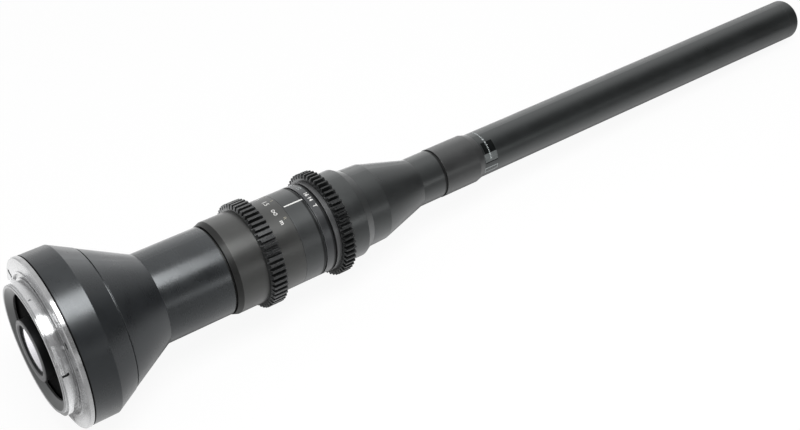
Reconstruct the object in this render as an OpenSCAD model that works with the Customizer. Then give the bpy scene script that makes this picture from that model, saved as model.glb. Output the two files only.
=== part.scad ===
// Probe macro lens. Optical axis = +X, mount register face at x = 0, top = +Z,
// index line 10 degrees round from the top towards -Y. Drawn in local (radius, axial) profiles.

/* [Mount end] */
// Step of the silver mount flange over the housing
flange_lip = 0.2; // [0:0.05:0.6]
// Thickness of the silver mount flange
flange_t = 1.8; // [1:0.1:4]
// Radius of the bayonet neck
bayonet_r = 25.0; // [22:0.1:26]
// Wall thickness of the bayonet neck
bayonet_t = 1.2; // [0.8:0.1:2.5]
// Depth of the bayonet behind the register face
bayonet_d = 4.8; // [4:0.1:9]
// Width of the relief round the bayonet neck
register_relief_w = 2.4; // [1.5:0.1:4]
// Depth of the relief inside the register face
register_relief = 0.4; // [0.2:0.1:0.8]
// Height of a bayonet lug
lug_h = 1.3; // [0.8:0.1:2]
// Thickness of a bayonet lug along the axis
lug_t = 1.9; // [1:0.1:3]
// Set-back of the lugs from the rear end
lug_back = 0.5; // [0.2:0.1:2]
// Width of the slot between two lugs
lug_gap_w = 12.0; // [4:0.5:20]
// Thickness of the rear trim ring over the bayonet end
trim_t = 0.5; // [0.3:0.1:1]
// Width of the sloped face of the rear trim ring
trim_w = 2.9; // [1.5:0.1:4]
// Distance of the rear baffle behind the register face
baffle_d = 1.7; // [0:0.1:2]
// Distance of the mount screws from the flange rim
screw_in = 3.0; // [2:0.1:4]
// Radius of a mount screw head
mount_screw_head_r = 1.5; // [1:0.1:2]
// Height of a mount screw head
mount_screw_head_h = 0.8; // [0.4:0.1:1.2]
// Thread radius of a mount screw
mount_screw_r = 0.8; // [0.5:0.1:1.2]
// Length of a mount screw under its head
mount_screw_l = 4.4; // [3:0.1:8]
// Width of the lock pin slot
lock_slot_w = 2.2; // [1:0.1:4]
// Length of the lock pin slot
lock_slot_l = 3.6; // [2:0.1:6]
// Depth of the lock pin slot
lock_slot_d = 1.0; // [0.5:0.1:1.6]

/* [Housing] */
// Radius of the mount housing
housing_r = 33.4; // [30:0.1:38]
// Length of the housing cylinder ahead of the flange
housing_l1 = 10.7; // [6:0.1:18]
// Length of the first housing cone
housing_l2 = 8.9; // [5:0.1:14]
// Drop in radius over the first housing cone
housing_drop = 5.0; // [2:0.1:8]
// Width of the groove between the two cones
cone_groove_w = 0.6; // [0.2:0.1:1.5]
// Depth of the groove between the two cones
cone_groove_d = 0.5; // [0.2:0.1:1]
// Length of the second housing cone
housing_l3 = 18.6; // [12:0.1:26]
// Wall thickness of the mount housing
housing_t = 2.4; // [1.5:0.1:4]

/* [Barrel] */
// Radius of the barrel under the turning rings
barrel_core_r = 16.8; // [14:0.1:20]
// Wall thickness of the barrel under the turning rings
barrel_t = 1.5; // [1:0.1:3]
// Step of the rear barrel over the core
barrel_step = 1.5; // [0.8:0.1:3]
// Length of the rear barrel ahead of the housing
barrel_l = 27.4; // [20:0.1:36]
// Length of the barrel's seat in the housing and in the cone
spigot_l = 6.0; // [4:0.1:9]

/* [Focus ring] */
// Gap between the rear barrel and the focus ring grip
focus_gap = 0.9; // [0.3:0.1:2]
// Length of the focus ring grip
grip_l = 13.7; // [8:0.1:20]
// Length of the rear bevel of the focus ring
focus_bevel = 2.2; // [0.5:0.1:4]
// Height of the grip over the focus scale
grip_h = 0.4; // [0.2:0.05:2]
// Wall from the barrel core to the scale surface
scale_wall = 2.15; // [1.8:0.05:4]
// Length of the focus scale
focus_scale_l = 9.8; // [6:0.1:14]
// Turn of the focus ring in degrees
focus_turn = 200; // [90:1:270]
// Travel of the focus cell
focus_travel = 12.0; // [6:0.5:16]

/* [Gears] */
// Gear module
gear_m = 0.8; // [0.5:0.1:1]
// Rim of a gear under its teeth
gear_rim_t = 1.25; // [0.8:0.05:3]
// Width of the focus gear rim with its bevels
gear1_w = 7.0; // [4:0.1:10]
// Width of the aperture gear rim with its bevels
gear2_w = 7.6; // [4:0.1:10]
// Axial length of the tooth end bevel
gear_bevel = 0.5; // [0.2:0.1:1.5]

/* [Fixed index ring] */
// Length of the index ring
index_l = 9.0; // [5:0.1:14]

/* [Aperture ring] */
// Length of the aperture scale
ap_scale_l = 5.3; // [4:0.1:9]
// Width of a seam groove at a ring end
seam_w = 0.7; // [0.2:0.1:1]
// Depth of a seam groove at a ring end
seam_d = 0.8; // [0.3:0.1:1.5]
// Width of the groove beside the aperture gear
ap_groove_w = 0.7; // [0.2:0.1:1.2]
// Turn of the aperture ring in degrees
ap_turn = 60; // [30:1:90]

/* [Front cone] */
// Height of the shoulder over the barrel core
shoulder_h = 2.2; // [1.5:0.1:4]
// Length of the shoulder
shoulder_l = 8.0; // [4:0.1:12]
// Length of the bevel from the shoulder to the waist
shoulder_bevel_l = 3.8; // [2:0.1:6]
// Drop in radius over that bevel
shoulder_drop = 2.0; // [1:0.1:3]
// Length of the waist
waist_l = 8.9; // [5:0.1:14]
// Drop in radius along the waist
waist_drop = 0.3; // [0:0.1:1]
// Length of the cone
cone_l = 21.7; // [14:0.1:30]
// Length of the lip round the probe tube
lip_l = 11.8; // [6:0.1:18]
// Wall of the lip round the probe tube
lip_t = 0.7; // [0.5:0.1:2]
// Wall thickness of the front cone
cone_t = 1.6; // [1:0.1:3]

/* [Probe] */
// Radius of the probe tube
tube_r = 10.0; // [8:0.1:14]
// Wall thickness of the probe tube
tube_t = 1.2; // [0.8:0.1:2]
// Step of the probe tube down to its seat in cone and collar
tube_step = 0.2; // [0.1:0.05:0.5]
// Length of the probe tube's seat in the cone
tube_seat_l = 25.2; // [18:0.1:30]
// Length of the probe ahead of the cone
probe_l = 232.8; // [150:0.1:320]
// Width of the seal ring
seal_w = 0.7; // [0.4:0.1:1.5]
// Edge radius of the seal ring
seal_bulge = 0.35; // [0.2:0.05:0.6]
// Wall of the probe collar
collar_t = 0.9; // [0.6:0.1:3]
// Length of the probe collar
collar_l = 18.0; // [10:0.1:26]
// Length of the collar front bevel
collar_bevel = 3.0; // [1:0.1:6]
// Length of the tip bezel
bezel_l = 6.0; // [3:0.1:12]
// Rounding of the tip edge
tip_round = 0.6; // [0.2:0.1:1.5]

/* [Lamp ring] */
// Width of the lamp ring between front glass and tube bore
lamp_ring_w = 3.9; // [3:0.1:6]
// Thickness of the lamp board
board_t = 0.8; // [0.4:0.1:1.6]
// Side of a lamp chip
lamp_w = 1.4; // [0.8:0.1:2]
// Height of a lamp chip
lamp_h = 0.7; // [0.3:0.1:1.2]
// Thickness of the lamp window
window_t = 1.0; // [0.5:0.1:2]
// Wire radius of the lamp lead
lead_r = 0.4; // [0.2:0.1:0.8]
// Width of the power socket
socket_w = 7.6; // [5:0.1:10]
// Height of the power socket shell
socket_h = 2.6; // [2:0.1:4]
// Depth of the power socket
socket_d = 5.0; // [3:0.1:8]

/* [Optics] */
// Gap between the rear lens tube and the barrel bore
rear_tube_gap = 3.3; // [2:0.1:6]
// Wall thickness of the rear lens tube
rear_tube_t = 2.4; // [1.5:0.1:4]
// Length of the rear lens tube behind the register face
rear_tube_back = 6.4; // [0:0.1:8]
// Distance of the rear lens tube's seat from the barrel rear end
rear_seat_l = 7.0; // [3:0.1:20]
// Centre thickness of the rear glass
rear_glass_t = 3.2; // [1:0.1:8]
// Wall of the focus cell
cell_t = 3.0; // [2:0.1:5]
// Length of the focus cell
cell_l = 26.0; // [15:0.5:30]
// Length of the focus cell behind its follower pins
cell_back = 11.4; // [6:0.1:16]
// Wall of a relay cell
relay_cell_t = 1.4; // [1:0.1:3]
// Centre thickness of a relay glass
relay_t = 5.0; // [2:0.1:12]
// Centre thickness of the front glass
front_glass_t = 4.0; // [2:0.1:8]
// Bulge of a glass face
glass_bulge = 0.9; // [0.2:0.1:2]
// Flat at the edge of a glass face
glass_flat = 1.0; // [0.5:0.1:1.5]

/* [Cam drive] */
// Radius of a cam follower pin
pin_r = 1.2; // [0.8:0.1:2]
// Depth of the cam groove in the focus ring
cam_groove_d = 1.2; // [0.6:0.1:1.8]
// Distance of the follower pins at rest from the focus ring rear face
pin_set = 5.1; // [3:0.1:8]
// Radius of the iris drive pin
drive_pin_r = 0.5; // [0.3:0.1:1.2]

/* [Iris] */
// Distance of the iris base plate from the aperture ring rear face
iris_set = 2.0; // [0.5:0.1:5]
// Thickness of an iris plate
iris_plate_t = 1.2; // [0.8:0.1:2]
// Distance of the blade pivots from the barrel bore
pivot_in = 2.9; // [2:0.1:4]
// Distance of the iris opening from the blade pivots
iris_band = 6.1; // [4:0.1:8]
// Thickness of a blade
blade_t = 0.3; // [0.1:0.05:0.5]
// Number of blades
blade_n = 5; // [5:1:5]
// Turn of a blade over the ring's whole turn in degrees
blade_turn = 19.5; // [10:0.5:22]
// Radius of a blade pivot pin
pivot_pin_r = 0.5; // [0.3:0.1:0.8]
// Radius of a blade drive pin
blade_pin_r = 0.4; // [0.3:0.05:0.8]
// Offset of the blade drive pin towards the axis
blade_pin_in = 0.5; // [0:0.1:1.5]
// Offset of the blade drive pin round the axis
blade_pin_out = 3.4; // [2:0.1:5]
// Distance of a blade's outer edge from its pivot
blade_edge_in = 1.4; // [1:0.1:3]

/* [Hardware] */
// Thread radius of a grub screw
grub_r = 0.8; // [0.5:0.1:1.5]
// Socket radius of a grub screw
grub_socket_r = 0.4; // [0.2:0.1:0.8]
// Depth of a grub screw socket
grub_socket_d = 0.7; // [0.3:0.1:1.2]

/* [Fits] */
// Running gap of a turning or sliding piece
run_c = 0.1; // [0.02:0.01:0.2]
// Gap between stacked blades
blade_c = 0.05; // [0.02:0.01:0.1]
// Gap at the end of a pin or screw
end_c = 0.2; // [0.1:0.05:0.6]
// Overrun of a cutting shape
over = 1.0; // [0.5:0.1:3]

/* [Hidden] */
FN = 128;
FS = 48;
TOP = [0, -90, 180];
// radii of the mount and housing
flange_r = housing_r + flange_lip;
screw_circle_r = flange_r - screw_in;
bayonet_bore_r = bayonet_r - bayonet_t;
register_in_r = bayonet_r + register_relief_w;
lug_r = bayonet_r + lug_h;
trim_in_r = bayonet_bore_r - trim_w;
baffle_x = -baffle_d;
housing_r2 = housing_r - housing_drop;
// radii of the barrel, its rings and the cone
barrel_bore_r = barrel_core_r - barrel_t;
barrel_r = barrel_core_r + barrel_step;
focus_scale_r = barrel_core_r + scale_wall;
focus_r = focus_scale_r + grip_h;
ap_r = focus_scale_r;
cone_r1 = barrel_core_r + shoulder_h;
cone_r2 = cone_r1 - shoulder_drop;
cone_r3 = cone_r2 - waist_drop;
cone_r4 = tube_r + lip_t;
collar_r = tube_r + collar_t;
tube_bore_r = tube_r - tube_t;
tube_seat_r = tube_r - tube_step;
// radii of the glasses and their cells
rear_tube_r = barrel_bore_r - rear_tube_gap;
rear_glass_r = rear_tube_r - rear_tube_t;
cell_r = barrel_bore_r - run_c;
cell_glass_r = cell_r - cell_t;
relay_r = tube_bore_r - relay_cell_t;
front_glass_r = tube_bore_r - lamp_ring_w;
lamp_circle_r = (front_glass_r + tube_bore_r) / 2;
// axial places, from the mount forward
housing_x1 = flange_t + housing_l1;
housing_x2 = housing_x1 + housing_l2;
housing_x3 = housing_x2 + housing_l3;
barrel_x0 = housing_x3 - spigot_l;
barrel_x1 = housing_x3 + barrel_l;
focus_x0 = barrel_x1 + focus_gap;
focus_x1 = focus_x0 + grip_l;
gear1_x = focus_x1;
focus_x2 = gear1_x + gear1_w + focus_scale_l;
index_x0 = focus_x2 + run_c;
index_x1 = index_x0 + index_l;
ap_x0 = index_x1 + run_c;
gear2_x = ap_x0 + ap_scale_l;
ap_x1 = gear2_x + gear2_w;
cone_x0 = ap_x1 + run_c;
barrel_x2 = cone_x0 + spigot_l;
cone_x1 = cone_x0 + shoulder_l;
cone_x2 = cone_x1 + shoulder_bevel_l;
cone_x3 = cone_x2 + waist_l;
cone_x4 = cone_x3 + cone_l;
cone_x5 = cone_x4 + lip_l;
tube_x0 = cone_x5 - tube_seat_l;
collar_x0 = cone_x5 + seal_w;
collar_x1 = collar_x0 + collar_l;
collar_x2 = collar_x1 + collar_bevel;
tip_x = cone_x5 + probe_l;
rear_tube_x0 = -rear_tube_back;
rear_tube_x1 = barrel_x0 + rear_seat_l;
pin_x = focus_x0 + pin_set;
cell_x0 = pin_x - cell_back;
iris_x = ap_x0 + iris_set;
// gear teeth: as many as the rim over the scale radius has room for
gear_n = round(2 * (focus_scale_r + gear_rim_t) / gear_m + 2.5);
gear_or = gear_m * (gear_n + 2) / 2;
gear_rr = gear_or - 2.25 * gear_m;
// iris
iris_b = iris_x + iris_plate_t;
cam_x = iris_b + blade_n * (blade_t + blade_c) + blade_c;
cam_r = barrel_bore_r - run_c;
retain_x = cam_x + iris_plate_t + run_c;
pivot_r = barrel_bore_r - pivot_in;
iris_hole_r = pivot_r - iris_band;
blade_in_r = iris_hole_r - run_c;
blade_out_r = pivot_r - blade_edge_in;
drive_x = cam_x + iris_plate_t / 2;
drive_ri = cam_r - iris_plate_t + run_c;
pin_angles = [60, 180, 300];
drive_a0 = 165.5;
drive_end = 5;
cell_gap = 1.2 * glass_bulge;
cell_xa = cell_x0 + 2 * window_t + rear_glass_t + cell_gap;
cell_xb = cell_x0 + cell_l - 2 * window_t - rear_glass_t - cell_gap;
rear_seat_x = rear_tube_x0 + 3 * window_t + rear_glass_t;
socket_a = 215;
socket_x = (cone_x2 + cone_x3) / 2;
front_x = tip_x - end_c;
front_seat_x = front_x - window_t - front_glass_t;
front_mount_x = front_seat_x - 3 * window_t;
board_x = front_x - 3 * window_t - lamp_h * 2 - board_t;
bezel_x0 = tip_x - bezel_l - lamp_h * 2;
lead_x1 = min(front_mount_x, bezel_x0 - 2 * lead_r) - window_t;
lead_rc = tube_bore_r - lead_r - run_c;
lead_ri = lamp_circle_r;
gear_root_h = gear_m * PI / 4 * 0.55;
gear_tip_h = gear_m * PI / 4 * 1.35;
lug_angles = [64, 184, 304];
mount_screw_angles = [38, 158, 278];
grub_angles = [160, 225, 290];
lamp_angles = [30, 90, 150, 210, 270, 330];
groove_r = barrel_core_r + run_c + cam_groove_d;
// places of the relay cells along the probe tube
relay_shares = [0.213, 0.38, 0.547, 0.713];
relay_x = [for (s = relay_shares) tube_x0 + s * (tip_x - tube_x0)];

// A solid turned about the optical axis from (radius, x) points
module turned(p) rotate(TOP) rotate_extrude($fn = FN) polygon(p);
// Children drawn in the local frame: z along the axis, x to the top
module axial() rotate(TOP) children();
// A ring between two radii and two axial positions
module ring(ri, ro, x0, x1) turned([[ri, x0], [ro, x0], [ro, x1], [ri, x1]]);
// A round bar along a radius at an angle, from radius r0 to r1, at x
module radial_pin(a, x, r, r0, r1)
  axial() rotate([0, 0, a]) translate([r0, 0, x]) rotate([0, 90, 0])
    cylinder(r = r, h = r1 - r0, $fn = FS);
// A round bar along the axis at angle a and radius rc
module axial_pin(a, rc, r, x0, x1)
  axial() rotate([0, 0, a]) translate([rc, 0, x0]) cylinder(r = r, h = x1 - x0, $fn = FS);
// A biconvex glass: flat edge land, then a shallow curve to the axis
function curve(r, h, x) = [for (i = [0:8]) [r * (1 - i / 8), x + h * (1 - pow(1 - i / 8, 2))]];
module glass(r, x0, x1, b0, b1)
  turned(concat([for (i = [8:-1:0]) curve(r - glass_flat, -b0, x0)[i]], [[r, x0], [r, x1]],
    curve(r - glass_flat, b1, x1)));

module bayonet_mount() color([0.80, 0.80, 0.80]) difference() {
  union() {
    turned([[bayonet_bore_r, -bayonet_d], [bayonet_r, -bayonet_d], [bayonet_r, register_relief],
      [register_in_r, register_relief], [register_in_r, 0], [flange_r - seal_bulge, 0],
      [flange_r, seal_bulge], [flange_r, flange_t], [bayonet_bore_r, flange_t]]);
    difference() {
      ring(bayonet_r - seal_bulge, lug_r, lug_back - bayonet_d, lug_back + lug_t - bayonet_d);
      for (a = lug_angles) axial() rotate([0, 0, a])
        translate([bayonet_r + run_c, -lug_gap_w / 2, -bayonet_d - over])
          cube([lug_r, lug_gap_w, bayonet_d + over + register_relief]);
    }
  }
  for (a = mount_screw_angles) {
    axial_pin(a, screw_circle_r, mount_screw_head_r + run_c, -over, mount_screw_head_h);
    axial_pin(a, screw_circle_r, mount_screw_r, -over, flange_t + over);
  }
  axial() rotate([0, 0, -61]) translate([screw_circle_r - lock_slot_l / 2, -lock_slot_w / 2, -over])
    cube([lock_slot_l, lock_slot_w, over + lock_slot_d]);
  radial_pin(10, -bayonet_d / 2 - lug_t / 2, lock_slot_w / 4, bayonet_r - lock_slot_d / 2, lug_r + over);
}

module mount_screws() color([0.62, 0.62, 0.63]) for (a = mount_screw_angles) difference() {
  union() {
    axial_pin(a, screw_circle_r, mount_screw_head_r, end_c / 2, mount_screw_head_h);
    axial_pin(a, screw_circle_r, mount_screw_r, mount_screw_head_h - end_c, mount_screw_head_h + mount_screw_l);
  }
  axial() rotate([0, 0, a]) translate([screw_circle_r, 0, -over]) {
    cube([mount_screw_head_r, grub_socket_r, 2 * over + mount_screw_head_h], center = true);
    cube([grub_socket_r, mount_screw_head_r, 2 * over + mount_screw_head_h], center = true);
  }
}

module mount_housing() color([0.07, 0.07, 0.08]) difference() {
  turned([[housing_r - housing_t - 3 * mount_screw_head_r, flange_t], [housing_r, flange_t],
    [housing_r, housing_x1], [housing_r2 + cone_groove_d, housing_x2 - cone_groove_w],
    [housing_r2 - cone_groove_d, housing_x2 - cone_groove_w], [housing_r2 - cone_groove_d, housing_x2],
    [housing_r2, housing_x2], [barrel_r, housing_x3],
    [barrel_core_r, housing_x3], [barrel_core_r, barrel_x0],
    [housing_r2 - housing_t - cone_groove_d, housing_x2 - cone_groove_w],
    [housing_r - housing_t, housing_x1 - housing_t], [housing_r - housing_t, flange_t + 4 * mount_screw_head_r],
    [housing_r - housing_t - 3 * mount_screw_head_r, flange_t + 4 * mount_screw_head_r]]);
  for (a = mount_screw_angles)
    axial_pin(a, screw_circle_r, mount_screw_r, 0, mount_screw_head_h + mount_screw_l + end_c);
}

module rear_trim_ring() color([0.22, 0.22, 0.23])
  turned([[bayonet_r - seam_d, -bayonet_d - trim_t], [bayonet_r - end_c, -bayonet_d - trim_t],
    [bayonet_r, -bayonet_d - trim_t + end_c], [bayonet_r, -bayonet_d], [bayonet_bore_r, -bayonet_d],
    [bayonet_bore_r, -bayonet_d / 2], [trim_in_r, -bayonet_d / 2], [trim_in_r, -bayonet_d / 2 - seam_d]]);

module rear_baffle() color([0.02, 0.02, 0.02])
  turned([[rear_tube_r, baffle_x], [bayonet_bore_r, baffle_x], [bayonet_bore_r, flange_t - seam_w],
    [bayonet_bore_r - seam_w, flange_t - seam_w], [bayonet_bore_r - seam_w, baffle_x + seam_w],
    [rear_tube_r, baffle_x + seam_w]]);

module rear_lens_tube() color([0.14, 0.14, 0.15])
  turned([[rear_glass_r - seam_w, rear_seat_x], [rear_glass_r, rear_seat_x],
    [rear_glass_r, rear_tube_x0 + window_t], [rear_glass_r + seam_w, rear_tube_x0],
    [rear_tube_r - end_c, rear_tube_x0], [rear_tube_r, rear_tube_x0 + end_c],
    [rear_tube_r, rear_tube_x1 - window_t], [barrel_bore_r, rear_tube_x1 - window_t],
    [barrel_bore_r, rear_tube_x1 + 2 * window_t], [rear_glass_r - seam_w, rear_tube_x1 + 2 * window_t]]);

module rear_element() color([0.75, 0.82, 0.80, 0.55])
  glass(rear_glass_r, rear_tube_x0 + 2 * window_t + end_c, rear_seat_x, glass_bulge, end_c);

module rear_retaining_ring() color([0.05, 0.05, 0.05])
  turned([[rear_glass_r - seam_d, rear_tube_x0 + window_t + end_c],
    [rear_glass_r, rear_tube_x0 + window_t + end_c], [rear_glass_r, rear_tube_x0 + 2 * window_t + end_c],
    [rear_glass_r - end_c, rear_tube_x0 + 2 * window_t + end_c]]);

module main_barrel() color([0.08, 0.08, 0.09]) difference() {
  turned([[barrel_bore_r, barrel_x0], [barrel_core_r, barrel_x0], [barrel_core_r, housing_x3],
    [barrel_r, housing_x3], [barrel_r, barrel_x1], [barrel_core_r, barrel_x1],
    [barrel_core_r, barrel_x2], [barrel_bore_r, barrel_x2]]);
  // straight guide slots for the follower pins
  for (a = pin_angles) axial() rotate([0, 0, a]) {
    translate([barrel_bore_r - over, -pin_r - run_c, pin_x])
      cube([barrel_core_r - barrel_bore_r + 2 * over, 2 * (pin_r + run_c), focus_travel]);
    for (x = [pin_x, pin_x + focus_travel]) translate([barrel_bore_r - over, 0, x]) rotate([0, 90, 0])
      cylinder(r = pin_r + run_c, h = barrel_core_r - barrel_bore_r + 2 * over, $fn = FS);
  }
  // arc slot for the iris drive pin
  axial() translate([0, 0, drive_x - drive_pin_r - run_c]) rotate([0, 0, drive_a0 - drive_end])
    rotate_extrude(angle = ap_turn + 2 * drive_end, $fn = FN)
      translate([barrel_bore_r - over, 0])
        square([barrel_core_r - barrel_bore_r + 2 * over, 2 * (drive_pin_r + run_c)]);
}

module index_ring() color([0.08, 0.08, 0.09]) difference() {
  ring(barrel_core_r, focus_scale_r, index_x0, index_x1);
  for (a = grub_angles)
    radial_pin(a, (index_x0 + index_x1) / 2, grub_r, barrel_core_r - over, focus_scale_r + over);
}

// Set screws at one axial position, seated on radius r0, ending at radius r1
module grubs(x, r0, r1) for (a = grub_angles) difference() {
  radial_pin(a, x, grub_r, r0, r1);
  axial() rotate([0, 0, a]) translate([r1 - grub_socket_d, 0, x]) rotate([0, 90, 0])
    cylinder(r = grub_socket_r, h = grub_socket_d + over, $fn = 6);
}
module index_ring_screws() color([0.20, 0.20, 0.20])
  grubs((index_x0 + index_x1) / 2, barrel_core_r, focus_scale_r - end_c);

// One helical cam groove as a closed sweep: a from -ext to turn + ext
cam_n = 42;
cam_h = (pin_r + run_c);
cam_ri = barrel_core_r - over;
cam_slope = atan2(focus_travel / focus_turn * 180 / PI, barrel_core_r + cam_groove_d / 2);
cam_ext = cam_h / (barrel_core_r + cam_groove_d) * 180 / PI;
function cam_p(a, side, r) = let (
    x = pin_x + focus_travel * a / focus_turn + side * cam_h * cos(cam_slope),
    t = -a + side * cam_h * sin(cam_slope) / r * 180 / PI
  ) [r * cos(t), r * sin(t), x];
cam_pts = [for (i = [0:cam_n]) let (a = -cam_ext + (focus_turn + 2 * cam_ext) * i / cam_n)
  each [cam_p(a, -1, cam_ri), cam_p(a, -1, groove_r), cam_p(a, 1, groove_r), cam_p(a, 1, cam_ri)]];
cam_faces = concat([[0, 1, 2, 3]],
  [for (i = [0:cam_n - 1], k = [0:3]) each
    [[4 * i + k, 4 * i + 4 + k, 4 * i + 4 + (k + 1) % 4], [4 * i + k, 4 * i + 4 + (k + 1) % 4, 4 * i + (k + 1) % 4]]],
  [[4 * cam_n + 3, 4 * cam_n + 2, 4 * cam_n + 1, 4 * cam_n]]);

module focus_sleeve() color([0.08, 0.08, 0.09]) difference() {
  turned([[barrel_core_r + run_c, barrel_x1 + run_c], [focus_r - 2 * seam_d - seal_bulge, barrel_x1 + run_c],
    [focus_r - 2 * seam_d - seal_bulge, focus_x0], [focus_r - seam_d, focus_x0],
    [focus_r, focus_x0 + focus_bevel], [focus_r, focus_x1],
    [focus_scale_r, focus_x1], [focus_scale_r, focus_x2], [barrel_core_r + run_c, focus_x2]]);
  for (a = pin_angles) axial() rotate([0, 0, a]) polyhedron(cam_pts, cam_faces, 4);
  for (a = grub_angles) radial_pin(a, gear1_x + gear1_w / 2, grub_r, focus_scale_r - seam_d, focus_scale_r + over);
}

// A fine-pitch drive gear ring with bevelled tooth ends
module gear_blank(x, ri, w) difference() {
  turned([[ri, x], [gear_rr, x], [gear_or, x + gear_bevel], [gear_or, x + w - gear_bevel],
    [gear_rr, x + w], [ri, x + w]]);
  axial() for (i = [0:gear_n - 1]) rotate([0, 0, 360 * (i + 0.5) / gear_n])
    translate([0, 0, x - over]) linear_extrude(w + 2 * over)
      polygon([[gear_rr, -gear_root_h], [gear_or + over, -gear_tip_h * 1.25],
        [gear_or + over, gear_tip_h * 1.25], [gear_rr, gear_root_h]]);
  for (a = grub_angles) radial_pin(a, x + w / 2, grub_r, ri - over, gear_or + over);
}
module focus_gear() color([0.03, 0.03, 0.03]) gear_blank(gear1_x, focus_scale_r, gear1_w);
module focus_gear_screws() color([0.20, 0.20, 0.20])
  grubs(gear1_x + gear1_w / 2, focus_scale_r - seam_d, gear_rr - end_c);

module focus_cell() color([0.05, 0.05, 0.05]) difference() {
  turned([[cell_glass_r - seam_d, cell_xa], [cell_glass_r, cell_xa], [cell_glass_r, cell_x0],
    [cell_r, cell_x0], [cell_r, cell_x0 + cell_l], [cell_glass_r, cell_x0 + cell_l],
    [cell_glass_r, cell_xb], [cell_glass_r - seam_d, cell_xb]]);
  for (a = pin_angles) radial_pin(a, pin_x, pin_r, cell_r - 2 * cam_groove_d, cell_r + over);
}
module focus_lens_rear() color([0.75, 0.82, 0.80, 0.55])
  glass(cell_glass_r, cell_x0 + 2 * window_t, cell_xa, glass_bulge, end_c);
module focus_lens_front() color([0.75, 0.82, 0.80, 0.55])
  glass(cell_glass_r, cell_xb, cell_x0 + cell_l - 2 * window_t, end_c, glass_bulge);
module focus_lens_ring_rear() color([0.05, 0.05, 0.05])
  turned([[cell_glass_r - seam_d, cell_x0 + window_t], [cell_glass_r, cell_x0 + window_t],
    [cell_glass_r, cell_x0 + 2 * window_t], [cell_glass_r - end_c, cell_x0 + 2 * window_t]]);
module focus_lens_ring_front() color([0.05, 0.05, 0.05])
  turned([[cell_glass_r - end_c, cell_x0 + cell_l - 2 * window_t], [cell_glass_r, cell_x0 + cell_l - 2 * window_t],
    [cell_glass_r, cell_x0 + cell_l - window_t], [cell_glass_r - seam_d, cell_x0 + cell_l - window_t]]);
module cam_followers() color([0.78, 0.66, 0.36])
  for (a = pin_angles) radial_pin(a, pin_x, pin_r, cell_r - 2 * cam_groove_d, groove_r - end_c);

module aperture_ring() color([0.08, 0.08, 0.09]) difference() {
  turned([[barrel_core_r + run_c, ap_x0], [ap_r - seam_d, ap_x0], [ap_r - seam_d, ap_x0 + seam_w],
    [ap_r, ap_x0 + seam_w], [ap_r, gear2_x - ap_groove_w], [ap_r - seam_d, gear2_x - ap_groove_w],
    [ap_r - seam_d, ap_x1], [barrel_core_r + run_c, ap_x1]]);
  radial_pin(drive_a0, drive_x, drive_pin_r, barrel_core_r - over, ap_r - seam_d - end_c);
  for (a = grub_angles) radial_pin(a, gear2_x + gear2_w / 2, grub_r, ap_r - seam_d - seam_w, ap_r + over);
}
module aperture_gear() color([0.03, 0.03, 0.03]) gear_blank(gear2_x, ap_r - seam_d, gear2_w);
module aperture_gear_screws() color([0.20, 0.20, 0.20])
  grubs(gear2_x + gear2_w / 2, ap_r - seam_d - seam_w, gear_rr - end_c);
module iris_drive_pin() color([0.70, 0.70, 0.70])
  radial_pin(drive_a0, drive_x, drive_pin_r, drive_ri, ap_r - seam_d - end_c);

// Blade drive pin: its place in the fixed frame when the blade has closed by b
function rot2(p, t) = [p[0] * cos(t) - p[1] * sin(t), p[0] * sin(t) + p[1] * cos(t)];
pin0 = [pivot_r - blade_pin_in, blade_pin_out];
function pin_at(b) = [pivot_r, 0] + rot2(pin0 - [pivot_r, 0], -b);
// The same place seen from the cam ring after it has turned by f of its turn
function slot_c(f) = rot2(pin_at(blade_turn * f), -ap_turn * f);
slot_n = 20;
slot_caps = 8;
slot_h = blade_pin_r + blade_c;
function slot_d(f) = let (d = slot_c(f + 0.01) - slot_c(f - 0.01)) d / norm(d);
function slot_pt(f, s) = let (d = slot_d(f)) slot_c(f) + s * slot_h * [-d[1], d[0]];
function slot_cap(f, t) = let (d = slot_d(f)) slot_c(f) + slot_h * (cos(t) * d + sin(t) * [-d[1], d[0]]);
slot_poly = concat(
  [for (i = [0:slot_n]) slot_pt(i / slot_n, 1)],
  [for (k = [1:slot_caps - 1]) slot_cap(1, 90 - 180 * k / slot_caps)],
  [for (i = [slot_n:-1:0]) slot_pt(i / slot_n, -1)],
  [for (k = [1:slot_caps - 1]) slot_cap(0, -90 - 180 * k / slot_caps)]);

module iris_base_plate() color([0.06, 0.06, 0.06]) difference() {
  turned([[iris_hole_r, iris_x], [barrel_bore_r, iris_x], [barrel_bore_r, iris_b], [iris_hole_r, iris_b]]);
  for (k = [0:blade_n - 1])
    axial_pin(k * 360 / blade_n, pivot_r, pivot_pin_r + blade_c, iris_x - over, iris_b + over);
}
module iris_cam_ring() color([0.10, 0.10, 0.10]) difference() {
  turned([[iris_hole_r, cam_x], [cam_r, cam_x], [cam_r, cam_x + iris_plate_t], [iris_hole_r, cam_x + iris_plate_t]]);
  for (k = [0:blade_n - 1]) axial() rotate([0, 0, k * 360 / blade_n])
    translate([0, 0, cam_x - over]) linear_extrude(iris_plate_t + 2 * over) polygon(slot_poly);
  radial_pin(drive_a0, drive_x, drive_pin_r, drive_ri, cam_r + over);
}
module iris_retainer() color([0.06, 0.06, 0.06]) difference() {
  ring(iris_hole_r + pivot_pin_r, barrel_bore_r, retain_x, retain_x + iris_plate_t);
  for (a = [0, 180]) axial() rotate([0, 0, a]) translate([pivot_r, -drive_pin_r, retain_x + iris_plate_t / 2])
    cube([barrel_bore_r, 2 * drive_pin_r, iris_plate_t]);
}
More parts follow.
